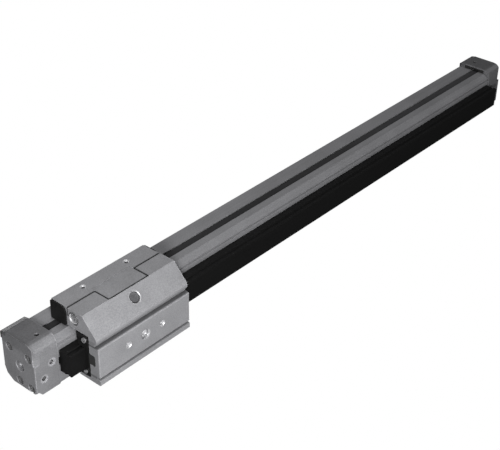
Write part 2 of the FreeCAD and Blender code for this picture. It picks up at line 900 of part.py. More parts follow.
def make_band_ramps():
    """Sliding wedges that lift the outer band and lay it down again."""
    end = carriage_mid - web_length / 2
    lift_start = carriage_start + driver_end + driver_flat_lead
    rise = outer_band_lift / (end - lift_start)
    low = yoke_head_bottom
    first = low + 0.3
    start = lift_start + (first + seat_gap - groove_floor) / rise
    last = groove_floor + outer_band_lift - seat_gap
    outline = [(start, low), (start, first), (end, last), (end, low)]
    wedge = prism_y(outline, band_channel_right, band_channel_left)
    return both_sides(wedge)


def guide_outline():
    """The guide carriage's section: slope, nose, side wall and foot."""
    top = carriage_top
    front = carriage_front
    low = carriage_bottom
    over_profile = profile_top + 1.2
    return [
        (driver_right - joint_gap, over_profile),
        (driver_right - joint_gap, top - edge_break),
        (driver_right - joint_gap - edge_break, top),
        (slope_top_y, top),
        (slope_foot_y, slope_foot_z),
        (slope_foot_y - 1.3, slope_foot_z - 1.5),
        (slope_foot_y - 2.0, slope_foot_z - 3.2),
        (slope_foot_y - 2.0, slope_foot_z - 5.0),
        (slope_foot_y - 1.2, slope_foot_z - 6.7),
        (slope_foot_y, slope_foot_z - 7.9),
        (upper_groove_y, slope_foot_z - 8.2),
        (upper_groove_y, slope_foot_z - 9.8),
        (front + 0.4, slope_foot_z - 10.4),
        (front, slope_foot_z - 11.0),
        (front, 8.3),
        (front + 0.3, 8.0),
        (lower_groove_y, 7.6),
        (lower_groove_y, 6.2),
        (carriage_foot_front, 5.6),
        (carriage_foot_front, low + 0.5),
        (carriage_foot_front + 0.5, low),
        (block_inner_y + 1.0, low),
        (block_inner_y + 1.0, foot_top),
        (wall_inner, foot_top),
        (wall_inner, block_top),
        (block_inner_y, block_top),
        (block_inner_y, over_profile),
    ]


def slope_middle():
    """The grease port's centre on the slope and the slope's outward direction."""
    centre = FreeCAD.Vector(carriage_mid, grease_port_y, 0)
    run = slope_foot_y - slope_top_y
    fall = slope_foot_z - carriage_top
    centre.z = carriage_top + fall * (centre.y - slope_top_y) / run
    outward = FreeCAD.Vector(0, fall, -run)
    outward.normalize()
    return centre, outward


def make_guide_carriage():
    """The guide carriage that wraps the rail and carries the load."""
    body = prism_x(guide_outline(), carriage_start, carriage_end)
    centre, outward = slope_middle()
    front = carriage_front
    cuts = tongue_recess() + [
        rod(grease_port_radius, centre - outward * grease_port_depth, centre + outward * 6.0),
        rod(grease_thread_radius, centre - outward * grease_passage_length, centre),
        front_hole(carriage_mid, centring_radius, 2.4),
        front_hole(carriage_mid, centring_radius - 1.2, 7.0),
        front_countersink(carriage_mid, centring_radius, 0.5, 0.3),
    ]
    for side in (-1, 1):
        x = carriage_mid + side * carriage_thread_reach
        cuts.append(front_hole(x, m5_core, 8.0))
        cuts.append(front_countersink(x, m5_core, load_hole_bevel, load_hole_bevel))
    end_bevel = prism_z([(carriage_start - 1.0, front + 1.6), (carriage_start - 1.0, front - 1.0),
                         (carriage_start + 1.6, front - 1.0)], 8.3, slope_foot_z - 8.2)
    cuts += [end_bevel, across(end_bevel, carriage_mid)]
    for y, z, radius, depth in end_face_holes():
        hole = rod(radius, (carriage_start - 1, y, z), (carriage_start + depth, y, z))
        cuts += [hole, across(hole, carriage_mid)]
    pocket = box(carriage_start - 1, carriage_start + end_pocket_depth, *end_pocket())
    cuts += [pocket, across(pocket, carriage_mid)]
    for x in block_screw_places():
        y = block_screw_y
        cuts.append(rod(block_screw_radius + 0.2, (x, y, carriage_bottom - 1), (x, y, foot_top + 1)))
        cuts.append(rod(3.0, (x, y, carriage_bottom - 1), (x, y, block_screw_seat)))
    return body.cut(cuts).removeSplitter()


def front_hole(x, radius, depth):
    """A hole bored into the carriage's side face."""
    mouth = (x, carriage_front - 1.0, carriage_hole_z)
    return rod(radius, mouth, (x, carriage_front + depth, carriage_hole_z))


def front_countersink(x, radius, widening, depth):
    """The widened mouth of a hole in the carriage's side face."""
    mouth = FreeCAD.Vector(x, carriage_front, carriage_hole_z)
    return Part.makeCone(radius + widening, radius, depth, mouth, FreeCAD.Vector(0, 1, 0))


def tongue_recess():
    """The recess for the driver's tongue, wider where its edges are broken."""
    half = tongue_length / 2 + joint_gap
    end_y = tongue_end_y - joint_gap
    top = carriage_top
    flare = edge_break + 1.0
    front = [
        (carriage_mid - half, tongue_bottom),
        (carriage_mid - half, top - edge_break),
        (carriage_mid - half - flare, top + 1.0),
        (carriage_mid + half + flare, top + 1.0),
        (carriage_mid + half, top - edge_break),
        (carriage_mid + half, tongue_bottom),
    ]
    side = [
        (end_y, top - edge_break),
        (end_y - flare, top + 1.0),
        (driver_right, top + 1.0),
        (driver_right, top - edge_break),
    ]
    recess = prism_y(front, end_y, driver_right + 1.0)
    end_flare = prism_x(side, carriage_mid - half, carriage_mid + half)
    return [recess, end_flare]


def end_face_holes():
    """Round holes in the carriage's end faces: y, z, radius and depth."""
    y = stop_screw_y
    z = stop_screw_z
    thread = stop_screw_radius + fit_gap
    return [(y, z, stop_counterbore_radius, stop_counterbore_depth), (y, z, thread, stop_screw_length + 1.0)]


def end_pocket():
    """The limits in Y and Z of the narrow pocket in each end face."""
    right = carriage_front + 4.3
    return (right, right + 4.8, rail_bottom + 7.9, rail_top - 3.9)


def block_screw_places():
    """Where the screws from below hold the bearing block."""
    reach = carriage_length / 2 - block_screw_inset
    return [carriage_mid - reach, carriage_mid + reach]


def make_stop_screws():
    """Stop screws in the carriage's end faces, set back in counterbores."""
    y = stop_screw_y
    z = stop_screw_z
    floor = carriage_start + stop_counterbore_depth
    screw = grub_screw((carriage_start + 0.5, y, z), (1, 0, 0), stop_screw_radius, stop_screw_length)
    ring = rod(stop_screw_radius + 1.4, (floor - 0.7, y, z), (floor, y, z))
    hole = rod(stop_screw_radius - 0.1, (floor - 1.0, y, z), (floor + 1.0, y, z))
    return both_sides(screw.fuse(ring.cut(hole)).removeSplitter())


def make_side_inserts():
    """Black inserts at the bottom of the pockets in the end faces."""
    y0, y1, z0, z1 = end_pocket()
    front = carriage_start + 1.6
    back = carriage_start + end_pocket_depth
    gap = seat_gap
    return both_sides(box(front, back, y0 + gap, y1 - gap, z0 + gap, z1 - gap))


def make_grease_plug():
    """The plug that closes the grease port in the slope."""
    centre, outward = slope_middle()
    floor = centre - outward * grease_port_depth
    face = centre - outward * 1.8
    head = rod(grease_port_radius - 0.35, floor, face)
    stem = rod(grease_thread_radius - fit_gap, floor - outward * 6.0, floor)
    return head.fuse(stem).removeSplitter()


def make_bearing_block():
    """The steel ball-bearing block round the rail."""
    outer = wall_inner + slide_gap
    wall = rail_outer - 1.1
    edge = block_inner_y + 0.1
    top_leg = rail_top + rail_gap
    low_leg = rail_bottom - rail_gap
    outline = [
        (outer, block_bottom + 0.02),
        (outer, block_top - slide_gap),
        (edge, block_top - slide_gap),
        (edge, top_leg),
        (wall, top_leg),
        (wall, low_leg),
        (edge, low_leg),
        (edge, block_bottom + 0.02),
    ]
    start = carriage_start + block_end_gap
    end = carriage_end - block_end_gap
    body = prism_x(outline, start, end)
    upper = rail_top + ball_radius * 0.3
    lower = rail_bottom - ball_radius * 0.3
    cuts = [
        rod(track_radius, (start - 1, ball_track_y, upper), (end + 1, ball_track_y, upper)),
        rod(track_radius, (start - 1, ball_track_y, lower), (end + 1, ball_track_y, lower)),
    ]
    for y, z in [(ball_track_y, top_leg + 5.6), (ball_track_y - 4.0, block_bottom + 2.2)]:
        cuts.append(rod(ball_radius + 0.1, (start - 1, y, z), (end + 1, y, z)))
    for x in block_screw_places():
        thread = block_screw_radius + fit_gap
        cuts.append(rod(thread, (x, block_screw_y, block_bottom - 1), (x, block_screw_y, low_leg - 1.7)))
    return body.cut(cuts).removeSplitter()


def make_balls():
    """Two rows of balls between the block and the rail."""
    start = carriage_start + block_end_gap + 3.0
    end = carriage_end - block_end_gap - 3.0
    pitch = (end - start) / (balls_per_row - 1)
    heights = (rail_top + ball_radius * 0.3, rail_bottom - ball_radius * 0.3)
    balls = []
    for z in heights:
        for place in range(balls_per_row):
            centre = FreeCAD.Vector(start + place * pitch, ball_track_y, z)
            balls.append(Part.makeSphere(ball_radius, centre))
    return Part.makeCompound(balls)


def make_block_screws():
    """Screws through the carriage's foot into the bearing block."""
    screws = []
    for x in block_screw_places():
        seat = (x, block_screw_y, block_screw_seat)
        screws.append(socket_screw(seat, (0, 0, 1), block_screw_radius, 4.5, 2.7, 1.9))
    return Part.makeCompound(screws)


def rail_window(gap):
    """The opening round the rail in the bearing's end pieces."""
    return (rail_outer - gap, 2.0, rail_bottom - gap, rail_top + gap)


def make_ball_returns():
    """Plastic caps on the block's ends that turn the balls round."""
    start = carriage_start + 0.1
    end = carriage_start + block_end_gap
    y0, y1, z0, z1 = rail_window(0.5)
    body = box(start, end, wall_inner + 0.1, block_inner_y + 0.1, block_bottom + 0.1, block_top - 0.1)
    window = box(start - 1, end + 1, y0, y1, z0, z1)
    hole = wiper_screw_radius + fit_gap
    holes = [rod(hole, (start - 1, y, z), (end + 1, y, z)) for y, z, radius in wiper_screw_spots()]
    return both_sides(body.cut([window] + holes))


def wiper_screw_spots():
    """Where each rail wiper is screwed on: y, z and head radius."""
    y = rail_outer - 0.1
    return [(y, block_top - 4.1, 2.2), (y, rail_bottom - 2.0, 1.6)]


def make_wipers():
    """Black wiper plates round the rail at the carriage's ends."""
    front = carriage_start - 0.9
    back = carriage_start + 0.1
    y0, y1, z0, z1 = rail_window(0.35)
    left = block_inner_y + 0.2
    outline = [
        (wall_inner + 0.4, block_bottom + 0.4),
        (wall_inner + 0.4, block_top - 2.4),
        (wall_inner + 2.4, block_top - 0.2),
        (left, block_top - 0.2),
        (left, block_bottom + 0.4),
    ]
    plate = prism_x(outline, front, back)
    window = box(front - 1, back + 1, y0, y1, z0, z1)
    hole = wiper_screw_radius + fit_gap
    holes = [rod(hole, (front - 1, y, z), (back + 1, y, z)) for y, z, radius in wiper_screw_spots()]
    return both_sides(plate.cut([window] + holes))


def make_wiper_screws():
    """Bright screws that hold the wipers and the ball returns."""
    screws = []
    for y, z, radius in wiper_screw_spots():
        seat = (carriage_start - 0.9, y, z)
        screw = socket_screw(seat, (1, 0, 0), wiper_screw_radius, 5.8, radius, 1.1)
        screws += [screw, across(screw, carriage_mid)]
    return Part.makeCompound(screws)


def export(name, shape):
    """Move a finished piece to the cylinder's own origin and write it."""
    placed = shape.copy()
    placed.translate(FreeCAD.Vector(-barrel_mid, -mid_y, 0))
    placed.exportStep("parts/%s.step" % name)


pieces = {
    "barrel_profile": make_barrel(),
    "end_cap_near": make_cap(near_needle_y),
    "end_cap_far": across(make_cap(far_needle_y), barrel_mid),
    "cap_screws": make_cap_screws(),
    "cap_seals": make_cap_seals(),
    "cushion_tubes": both_ends(make_cushion_tube()),
    "cushion_needle_near": make_needle(near_needle_y),
    "cushion_needle_far": across(make_needle(far_needle_y), barrel_mid),
    "stop_buffers": make_buffers(),
    "band_clamps": make_band_clamps(),
    "outer_band": make_outer_band(),
    "inner_band": make_inner_band(),
    "guide_rail": make_rail(),
    "yoke": make_yoke(),
    "piston_heads": make_piston_heads(),
    "piston_seals": make_piston_seals(),
    "piston_wear_rings": make_wear_rings(),
    "cushion_seals": make_cushion_seals(),
    "piston_head_screws": make_head_screws(),
    "piston_magnet": make_magnet(),
    "driver": make_driver(),
    "yoke_set_screws": make_yoke_screws(),
    "driver_end_plates": make_driver_plates(),
    "band_ramps": make_band_ramps(),
    "guide_carriage": make_guide_carriage(),
    "stop_screws": make_stop_screws(),
    "end_inserts": make_side_inserts(),
    "grease_plug": make_grease_plug(),
    "bearing_block": make_bearing_block(),
    "bearing_balls": make_balls(),
    "block_screws": make_block_screws(),
    "ball_returns": make_ball_returns(),
    "rail_wipers": make_wipers(),
    "wiper_screws": make_wiper_screws(),
}

for piece_name, piece_shape in pieces.items():
    export(piece_name, piece_shape)
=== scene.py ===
import json
import math

import bmesh
import bpy
import numpy as np
from mathutils import Matrix, Vector


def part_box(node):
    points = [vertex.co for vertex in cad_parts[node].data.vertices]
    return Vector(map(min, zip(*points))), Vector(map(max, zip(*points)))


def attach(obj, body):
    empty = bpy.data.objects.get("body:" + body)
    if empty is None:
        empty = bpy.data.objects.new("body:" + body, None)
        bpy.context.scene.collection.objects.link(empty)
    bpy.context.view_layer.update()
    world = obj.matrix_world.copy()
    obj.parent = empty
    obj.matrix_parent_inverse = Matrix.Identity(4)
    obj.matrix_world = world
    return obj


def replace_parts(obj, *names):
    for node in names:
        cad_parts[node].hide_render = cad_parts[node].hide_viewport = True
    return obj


# The looks of a rodless air cylinder with a guided carriage, in metres.
# X runs along the barrel, -Y is the guide side and Z points up out of the slot.
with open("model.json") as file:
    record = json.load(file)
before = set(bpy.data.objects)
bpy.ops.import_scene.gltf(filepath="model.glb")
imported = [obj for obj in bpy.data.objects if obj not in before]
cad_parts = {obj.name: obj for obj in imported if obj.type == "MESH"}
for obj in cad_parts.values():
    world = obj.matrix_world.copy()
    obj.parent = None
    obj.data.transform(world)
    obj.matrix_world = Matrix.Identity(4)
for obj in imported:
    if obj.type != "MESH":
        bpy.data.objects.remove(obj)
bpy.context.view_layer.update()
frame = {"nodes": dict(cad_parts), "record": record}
nodes = frame["nodes"]
mounts = {mount["name"]: mount for mount in frame["record"]["mounts"]}
MM = 0.001


def corners_mm(node):
    """A node's lowest and highest corners at rest, in millimetres to two places."""
    return [[round(value / MM, 2) for value in corner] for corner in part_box(node)]


def mount_mm(name):
    """The place of one of the record's mounts, in millimetres to two places."""
    return [round(value / MM, 2) for value in mounts[name]["pos_m"]]


# Places in millimetres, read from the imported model.
CARRIAGE_NEAR_X, CARRIAGE_FAR_X = (corner[0] for corner in corners_mm("guide_carriage"))
CARRIAGE_TOP_Z = corners_mm("guide_carriage")[1][2]
CARRIAGE_SIDE_Y = mount_mm("carriage_side_face")[1]
CENTRE_X, _, LOAD_HOLE_Z = mount_mm("carriage_centring_bore")
SLOT_Y = mount_mm("driver_top_holes")[1]
CAP_END_X = corners_mm("end_cap_far")[1][0]

# The bore in the carriage's slope: the middle of its mouth in millimetres, and its way in.
SLOPE_HOLE = (-237.0, -20.7, 51.82)
SLOPE_IN = (0.0, 0.729, -0.684)

# Core radius and pitch of the two threads, in millimetres.
M5_THREAD = dict(core=2.1, pitch=0.8)
M4_THREAD = dict(core=1.65, pitch=0.7)


def look_from(place, azimuth, elevation, roll):
    """A turn whose -Z looks down along the given angles, in degrees."""
    az, el, ro = (math.radians(a) for a in (azimuth, elevation, roll))
    ahead = Vector((math.cos(el) * math.cos(az), math.cos(el) * math.sin(az), -math.sin(el)))
    level = Vector((math.sin(az), -math.cos(az), 0.0))
    upright = level.cross(ahead)
    right = math.cos(ro) * level + math.sin(ro) * upright
    up = math.cos(ro) * upright - math.sin(ro) * level
    turn = Matrix((right, up, -ahead)).transposed().to_4x4()
    turn.translation = Vector(place)
    return turn


def make_camera():
    """The photograph's camera: its place, direction and focal length."""
    place = (-0.735985, -0.551788, 0.581191)
    focal_px = 1187.93
    image_width_px = 500.0
    camera = bpy.data.objects.new("camera", bpy.data.cameras.new("camera"))
    camera.data.sensor_width = 36.0
    camera.data.lens = focal_px / image_width_px * camera.data.sensor_width
    camera.data.clip_start = 0.05
    camera.matrix_world = look_from(place, azimuth=40.0413, elevation=32.6078, roll=1.0887)
    bpy.context.scene.collection.objects.link(camera)
    bpy.context.scene.camera = camera


def grey(value):
    """A grey that is a touch blue."""
    return (value, value, value * 1.01)


class Shader:
    """A small helper that lays out one material's nodes."""

    # The colour sockets of a Mix node come after those for numbers and vectors.
    FIRST_COLOR, SECOND_COLOR, MIXED_COLOR = 6, 7, 2
    SOCKETS = {"color": "Base Color", "metal": "Metallic", "rough": "Roughness", "normal": "Normal",
               "specular": "Specular IOR Level"}

    def __init__(self, name):
        self.material = bpy.data.materials.new(name)
        self.material.use_nodes = True
        self.tree = self.material.node_tree
        self.surface = self.tree.nodes["Principled BSDF"]

    def node(self, kind, **values):
        """A new node; each value goes to the socket of that name, or else to the setting."""
        made = self.tree.nodes.new(kind)
        for key, value in values.items():
            if key in made.inputs:
                made.inputs[key].default_value = value
            else:
                setattr(made, key, value)
        return made

    def link(self, out, into):
        self.tree.links.new(out, into)

    def stretched(self, scale):
        """Object coordinates stretched by a scale for each axis."""
        place = self.node("ShaderNodeTexCoord")
        mapping = self.node("ShaderNodeMapping")
        mapping.inputs["Scale"].default_value = scale
        self.link(place.outputs["Object"], mapping.inputs["Vector"])
        return mapping.outputs["Vector"]

    def noise(self, scale, detail=3.0, rough=0.55, stretch=(1.0, 1.0, 1.0)):
        """Noise of about 1/scale metres, drawn out along an axis by stretch."""
        made = self.node("ShaderNodeTexNoise", Scale=scale, Detail=detail, Roughness=rough)
        self.link(self.stretched(stretch), made.inputs["Vector"])
        return made.outputs["Fac"]

    def ramp(self, factor, low, high, start=0.3, end=0.7):
        """The colour low below start, high above end, and a blend between them."""
        made = self.node("ShaderNodeValToRGB")
        first, last = made.color_ramp.elements
        first.position, last.position = start, end
        first.color = (*low, 1.0)
        last.color = (*high, 1.0)
        self.link(factor, made.inputs["Fac"])
        return made.outputs["Color"]

    def mixed(self, first, second):
        """Two colours multiplied."""
        made = self.node("ShaderNodeMix", data_type="RGBA", blend_type="MULTIPLY")
        made.inputs["Factor"].default_value = 1.0
        self.link(first, made.inputs[self.FIRST_COLOR])
        self.link(second, made.inputs[self.SECOND_COLOR])
        return made.outputs[self.MIXED_COLOR]

    def toned(self, color, zone, tone):
        """A colour made darker or lighter by tone inside a zone."""
        made = self.node("ShaderNodeMix", data_type="RGBA", blend_type="MULTIPLY")
        self.link(zone, made.inputs["Factor"])
        self.link(color, made.inputs[self.FIRST_COLOR])
        made.inputs[self.SECOND_COLOR].default_value = (tone, tone, tone, 1.0)
        return made.outputs[self.MIXED_COLOR]

    def zone(self, x=None, y=None, z=None, soft=0.0004):
        """1 inside a box of object coordinates in metres, 0 outside, soft at its faces."""
        place = self.node("ShaderNodeTexCoord")
        parts = self.node("ShaderNodeSeparateXYZ")
        self.link(place.outputs["Object"], parts.inputs["Vector"])
        inside = None
        for axis, limits in (("X", x), ("Y", y), ("Z", z)):
            if limits is None:
                continue
            for edge, way in ((limits[0], 1), (limits[1], -1)):
                step = self.node("ShaderNodeMapRange", interpolation_type="SMOOTHSTEP")
                step.inputs["From Min"].default_value = edge - way * soft
                step.inputs["From Max"].default_value = edge + way * soft
                self.link(parts.outputs[axis], step.inputs["Value"])
                if inside is None:
                    inside = step.outputs["Result"]
                    continue
                both = self.node("ShaderNodeMath", operation="MULTIPLY")
                self.link(inside, both.inputs[0])
                self.link(step.outputs["Result"], both.inputs[1])
                inside = both.outputs["Value"]
        return inside

    def painted_hollow_shade(self, color, reach, depth):
        """Painted shade: a colour darkened by depth where walls within reach shut the light out."""
        shut_at, open_at = 0.15, 0.8
        shut = self.node("ShaderNodeAmbientOcclusion", samples=6)
        shut.inputs["Distance"].default_value = reach
        return self.mixed(color, self.ramp(shut.outputs["AO"], grey(depth), grey(1.0), shut_at, open_at))

    def worn_and_highlit_edges(self, color, radius, tone, patches):
        """A colour made paler by tone along sharp edges, broken up by patches of noise: worn edges with a
        painted highlight on them.

        An edge is where the normals of the surface and of a rounded copy differ: it starts where their dot
        product is starts_at and counts in full at full_at.
        """
        starts_at, full_at = 0.98, 0.80
        rounded = self.node("ShaderNodeBevel", samples=4, Radius=radius)
        flat = self.node("ShaderNodeNewGeometry")
        match = self.node("ShaderNodeVectorMath", operation="DOT_PRODUCT")
        self.link(rounded.outputs["Normal"], match.inputs[0])
        self.link(flat.outputs["Normal"], match.inputs[1])
        edge = self.node("ShaderNodeMapRange")
        edge.inputs["From Min"].default_value = starts_at
        edge.inputs["From Max"].default_value = full_at
        self.link(match.outputs["Value"], edge.inputs["Value"])
        amount = self.node("ShaderNodeMath", operation="MULTIPLY")
        self.link(edge.outputs["Result"], amount.inputs[0])
        self.link(patches, amount.inputs[1])
        return self.toned(color, amount.outputs["Value"], tone)

    def spread(self, factor, low, high):
        """A factor from 0 to 1 turned into the range from low to high."""
        made = self.node("ShaderNodeMapRange")
        made.inputs["To Min"].default_value = low
        made.inputs["To Max"].default_value = high
        self.link(factor, made.inputs["Value"])
        return made.outputs["Result"]

    def bump(self, height, distance, strength, under=None):
        """Normals bumped by a height from 0 to 1 times a distance in metres, over another bump if any."""
        made = self.node("ShaderNodeBump", Strength=strength, Distance=distance)
        self.link(height, made.inputs["Height"])
        if under is not None:
            self.link(under, made.inputs["Normal"])
        return made.outputs["Normal"]

    def set(self, **sockets):
        """The finished material, with each named socket of the surface linked or given its value."""
        for key, value in sockets.items():
            socket = self.surface.inputs[self.SOCKETS[key]]
            if isinstance(value, bpy.types.NodeSocket):
                self.link(value, socket)
            elif key == "color":
                socket.default_value = (*value, 1.0)
            else:
                socket.default_value = value
        return self.material


def drawn_metal(name, shade, rough, lines, metal):
    """Anodised aluminium: fine die lines along its length over a faint broad unevenness, worn edges with a
    painted highlight, and painted shade in hollows.
    """
    s = Shader(name)
    fine = s.noise(1.0, 4.0, 0.6, lines)
    broad = s.noise(28.0, 3.0)
    die_lines = s.ramp(fine, grey(shade * 0.90), grey(shade * 1.10))
    color = s.mixed(die_lines, s.ramp(broad, grey(0.94), grey(1.06)))
    color = s.mixed(color, s.ramp(s.noise(1100.0, 2.0, 0.5), grey(0.86), grey(1.12)))
    patches = s.ramp(broad, grey(0.5), grey(1.0))
    # Worn edges with a painted highlight, then painted shade in the hollows.
    color = s.painted_hollow_shade(s.worn_and_highlit_edges(color, 0.0005, 1.35, patches), 0.004, 0.35)
    grain = s.bump(s.noise(5200.0, 2.0), 0.000012, 0.35)
    return s.set(color=color, metal=metal, rough=s.spread(broad, rough - 0.04, rough + 0.06),
                 normal=s.bump(fine, 0.00002, 0.3, grain))


def blasted_metal(name, shade, zones, rough=0.5, metal=0.4, edge=0.0012):
    """Shot-blasted and coated metal: dents, fine grain, a few paler rubs, worn edges with a painted
    highlight, toned zones that are mostly painted shade and light, and painted shade in hollows.
    """
    s = Shader(name)
    dents = s.noise(1900.0, 3.0, 0.65)
    cloud = s.noise(70.0, 4.0)
    rubs = s.noise(310.0, 5.0, 0.7)
    speckle = s.noise(1100.0, 2.0, 0.5)
    coat = s.ramp(cloud, grey(shade * 0.93), grey(shade * 1.06))
    color = s.mixed(coat, s.ramp(rubs, grey(1.0), grey(1.16), 0.62, 0.8))
    color = s.mixed(color, s.ramp(speckle, grey(0.84), grey(1.14)))
    # Worn edges with a painted highlight.
    color = s.worn_and_highlit_edges(color, edge, 2.0, s.ramp(rubs, grey(0.3), grey(1.0), 0.4, 0.6))
    # Toned zones, most of them painted shade or painted light.
    for limits, tone in zones:
        color = s.toned(color, s.zone(**limits), tone)
    # Painted shade in the hollows.
    color = s.painted_hollow_shade(color, 0.003, 0.35)
    pores = s.bump(s.noise(6400.0, 1.0), 0.00002, 0.4)
    return s.set(color=color, metal=metal, rough=s.spread(cloud, rough - 0.05, rough + 0.07),
                 normal=s.bump(dents, 0.00006, 0.45, pores))


def plated_metal(name, shade, rough, metal=0.9, shut=0.35):
    """Plated or ground metal: fine grain, a little uneven in gloss, darkened by shut in hollows as painted
    shade.
    """
    s = Shader(name)
    fine = s.noise(2600.0, 3.0)
    broad = s.noise(260.0, 2.0)
    # Painted shade in the hollows, as dark as shut.
    color = s.painted_hollow_shade(s.ramp(fine, grey(shade * 0.93), grey(shade * 1.07)), 0.0025, shut)
    return s.set(color=color, metal=metal, rough=s.spread(broad, rough - 0.04, rough + 0.05),
                 normal=s.bump(fine, 0.00001, 0.3))


def blackened_steel(name, shade, rough):
    """Black-oxide steel: nearly black, ground along its length, oily in places."""
    s = Shader(name)
    ground = s.noise(1.0, 3.0, 0.6, (20.0, 3800.0, 3800.0))
    oil = s.noise(34.0, 3.0)
    color = s.ramp(ground, grey(shade * 0.8), grey(shade * 1.2))
    return s.set(color=color, metal=0.15, rough=s.spread(oil, rough - 0.06, rough + 0.06), specular=0.18,
                 normal=s.bump(ground, 0.000012, 0.3))


def moulded_plastic(name, color, rough, grain=2400.0, specular=0.3):
    """Moulded plastic with a spark-eroded grain."""
    s = Shader(name)
    fine = s.noise(grain, 3.0)
    cloud = s.noise(90.0, 2.0)
    tone = s.ramp(cloud, tuple(c * 0.88 for c in color), tuple(c * 1.12 for c in color))
    return s.set(color=tone, rough=s.spread(cloud, rough - 0.05, rough + 0.05), specular=specular,
                 normal=s.bump(fine, 0.00004, 0.45))


def band_plastic(name, color, rough):
    """Extruded polyurethane: faint lines along the strip, and a painted sheen that makes it paler towards
    its far end.
    """
    s = Shader(name)
    lines = s.noise(1.0, 3.0, 0.6, (6.0, 5200.0, 400.0))
    wear = s.noise(18.0, 3.0)
    tone = s.ramp(lines, tuple(c * 0.85 for c in color), tuple(c * 1.15 for c in color))
    tone = s.mixed(tone, s.ramp(wear, grey(0.9), grey(1.15)))
    # A painted sheen: the strip drawn paler towards its far end.
    tone = s.toned(tone, s.zone(x=(0.12, 0.50), soft=0.16), 1.8)
    return s.set(color=tone, specular=0.25, rough=s.spread(wear, rough - 0.05, rough + 0.08),
                 normal=s.bump(lines, 0.000015, 0.4))


# Where a surface is darker or paler than its own finish: a box in metres, and how it is toned. Most of these
# zones are painted shade or painted light.
CARRIAGE_PAINTED_SHADE = {
    # Painted shade in the groove under the slope's nose and in the foot groove.
    "upper groove": (dict(y=(-0.0292, -0.02), z=(0.0349, 0.0392)), 0.82),
    "deeper painted shade in the upper groove": (dict(y=(-0.0296, -0.02), z=(0.0343, 0.0356), soft=0.0002), 0.45),
    "foot groove": (dict(y=(-0.0302, -0.02), z=(0.0060, 0.0080)), 0.55),
    # Painted shade along the joints round the driver's tongue and on the walls below them.
    "walls below the joint": (dict(x=(-0.2835, -0.1905), y=(-0.0146, 0.0040), z=(0.040, 0.0570)), 0.1),
    "joint at the near end": (dict(x=(-0.2860, -0.2574), y=(0.0001, 0.0018), z=(0.050, 0.059)), 0.2),
    "joint at the far end": (dict(x=(-0.2166, -0.1880), y=(0.0001, 0.0018), z=(0.050, 0.059)), 0.2),
    "tongue's near side": (dict(x=(-0.2584, -0.2567), y=(-0.0146, 0.0012), z=(0.050, 0.059)), 0.2),
    "tongue's far side": (dict(x=(-0.2173, -0.2156), y=(-0.0146, 0.0012), z=(0.050, 0.059)), 0.2),
    "tongue's tip": (dict(x=(-0.2579, -0.2161), y=(-0.0150, -0.0134), z=(0.050, 0.059)), 0.2),
    "tongue's step": (dict(x=(-0.2572, -0.2168), y=(0.0046, 0.0052), z=(0.0577, 0.059)), 0.6),
    # Painted shade on the near end face.
    "near end face": (dict(x=(-0.2858, -0.2852)), 0.86),
}
CAP_ZONES = {
    # Painted shade on the caps' tops, on the lip and along its edge.
    "top": (dict(y=(-0.010, 0.0253), z=(0.0453, 0.050)), 0.6),
    "lip": (dict(y=(0.0249, 0.0320), z=(0.042, 0.050), soft=0.0001), 0.66),
    "lip's edge": (dict(y=(0.0290, 0.0330), z=(0.036, 0.050)), 0.55),
    # Painted shade over the upper front of the near cap, and painted light on its whole front.
    "near cap's upper front": (dict(x=(-0.330, -0.3236), z=(0.036, 0.055), soft=0.002), 0.75),
    "near cap's front": (dict(x=(-0.326, -0.3246)), 1.25),
    "side ports' spot faces": (dict(y=(-0.00542, -0.0049), z=(0.009, 0.029), soft=0.00005), 1.45),
    # Painted shade on the far cap's inner face and side; painted light on the near cap's side.
    "far cap's inner face": (dict(x=(0.3022, 0.3030)), 0.72),
    "far cap's side": (dict(x=(0.3045, 0.330), y=(-0.0062, -0.0035)), 0.72),
    "near cap's side": (dict(x=(-0.330, -0.3035), y=(-0.0062, -0.0035), z=(0.0, 0.034)), 1.12),
}

# One material for each slot of the record.
materials = {
    "anodised_profile": drawn_metal("anodised_profile", 0.31, 0.55, (9.0, 2600.0, 2600.0), 0.45),
    "cast_cap": blasted_metal("cast_cap", 0.265, CAP_ZONES.values()),
    "carriage_aluminium": blasted_metal("carriage_aluminium", 0.315, CARRIAGE_PAINTED_SHADE.values(), 0.56, 0.2,
                                        0.0008),
    "turned_aluminium": plated_metal("turned_aluminium", 0.7, 0.42, 0.62, 0.6),
    "screw_steel": plated_metal("screw_steel", 0.24, 0.38, 0.55),
    "bright_steel": plated_metal("bright_steel", 0.6, 0.4, 0.8),
    "bearing_steel": plated_metal("bearing_steel", 0.5, 0.22),
    "rail_steel": blackened_steel("rail_steel", 0.007, 0.55),
    "black_plastic": moulded_plastic("black_plastic", (0.008, 0.008, 0.008), 0.55, 2400.0, 0.22),
    "cover_band": band_plastic("cover_band", (0.028, 0.028, 0.029), 0.55),
    "sealing_band": band_plastic("sealing_band", (0.4, 0.3, 0.12), 0.4),
    "white_acetal": moulded_plastic("white_acetal", (0.8, 0.79, 0.76), 0.4, 1800.0, 0.45),
    "seal_rubber": moulded_plastic("seal_rubber", (0.02, 0.02, 0.02), 0.65, 3000.0, 0.2),
    "magnet": moulded_plastic("magnet", (0.05, 0.05, 0.05), 0.6),
}

# Finishes of single new pieces that differ from their slot's.
worn_plastic = moulded_plastic("worn_plastic", (0.036, 0.036, 0.036), 0.6, 900.0)
cut_thread = plated_metal("cut_thread", 0.5, 0.3)
dull_zinc = blasted_metal("dull_zinc", 0.13, (), 0.5, 0.3, 0.0004)


def dress_cad_nodes():
    """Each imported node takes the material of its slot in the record."""
    for part in frame["record"]["subparts"]:
        node = nodes[part["node"]]
        node.data.materials.clear()
        node.data.materials.append(materials[part["material_slot"]])


